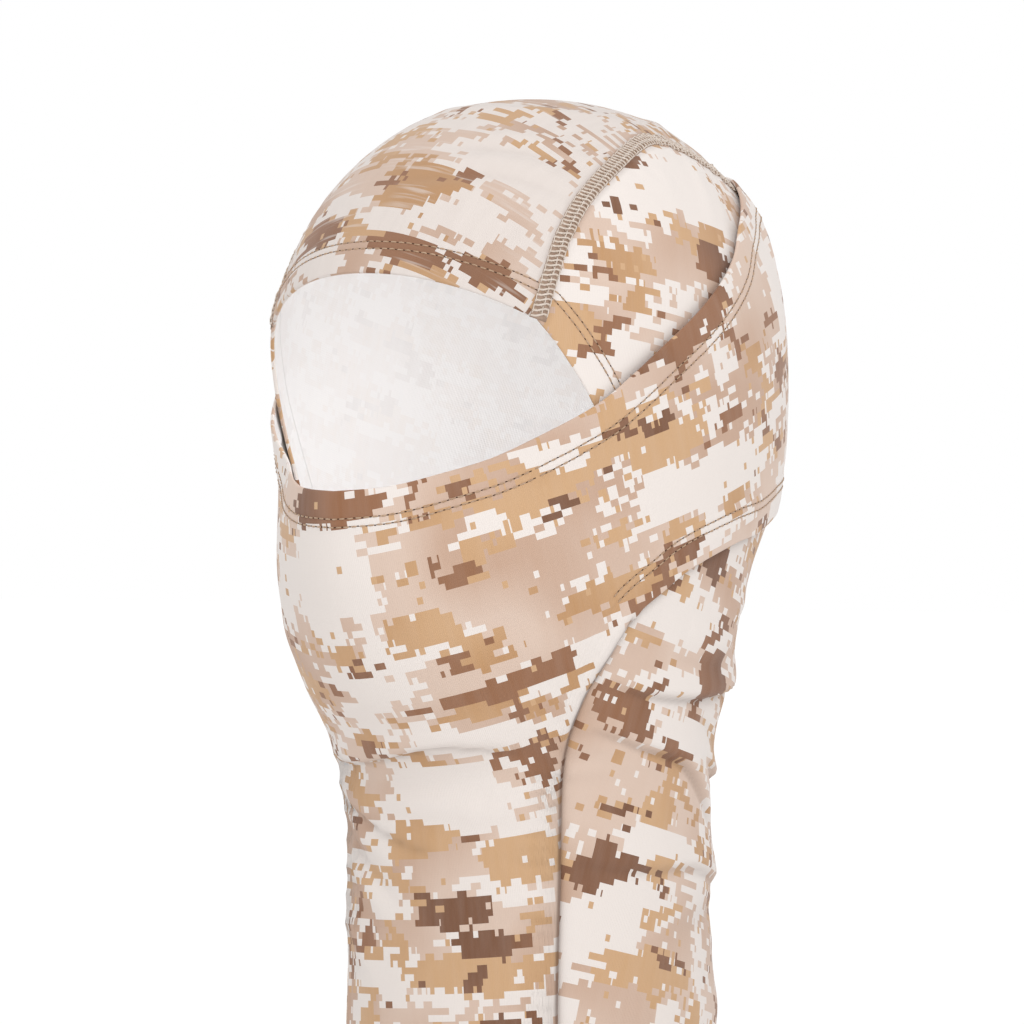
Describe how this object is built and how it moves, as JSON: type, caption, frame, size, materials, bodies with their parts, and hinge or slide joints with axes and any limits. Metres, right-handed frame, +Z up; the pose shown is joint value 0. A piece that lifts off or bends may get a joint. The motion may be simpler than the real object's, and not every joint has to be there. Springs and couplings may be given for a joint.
{
  "type": "balaclava",
  "caption": "Hinged balaclava in printed stretch jersey: a three-panel hood with a face opening and an outer lower-face mask that pulls down under the chin.",
  "frame": {"origin": "centre of the head cavity at ear level, on the middle plane", "axes": "+Z up the head towards the crown, -Y towards the face, +X towards the wearer's left"},
  "size_m": [0.1732, 0.2284, 0.401],
  "materials": {
    "jersey": "smooth matt stretch knit with a printed blocky four-colour desert pattern, pale on the reverse",
    "thread": "textured polyester overlock thread, taupe"
  },
  "bodies": {
    "hood": {"crown_panel": "jersey", "side_panel_left": "jersey", "side_panel_right": "jersey", "mask_panel": "jersey", "face_opening_hem": "jersey", "bottom_hem": "jersey", "mask_hem_rear": "jersey", "band_lower_hem": "jersey", "crown_seam_left": "thread", "crown_seam_right": "thread", "front_seam_left": "thread", "front_seam_right": "thread", "mask_back_seam": "thread", "face_stitch_inner": "thread", "face_stitch_outer": "thread", "bottom_stitch_lower": "thread", "bottom_stitch_upper": "thread", "mask_stitch_rear_upper": "thread", "mask_stitch_rear_lower": "thread", "band_stitch_lower": "thread", "band_stitch_upper": "thread"},
    "mask": {"mask_hem_front": "jersey", "mask_stitch_front_upper": "thread", "mask_stitch_front_lower": "thread"}
  },
  "joints": [
    {"name": "mask_pull_down", "type": "hinge", "parent": "hood", "child": "mask", "pos_m": [0, 0.06, -0.045], "axis": [1, 0, 0], "range_deg": [0, 34], "deforming": ["mask_panel"]}
  ]
}
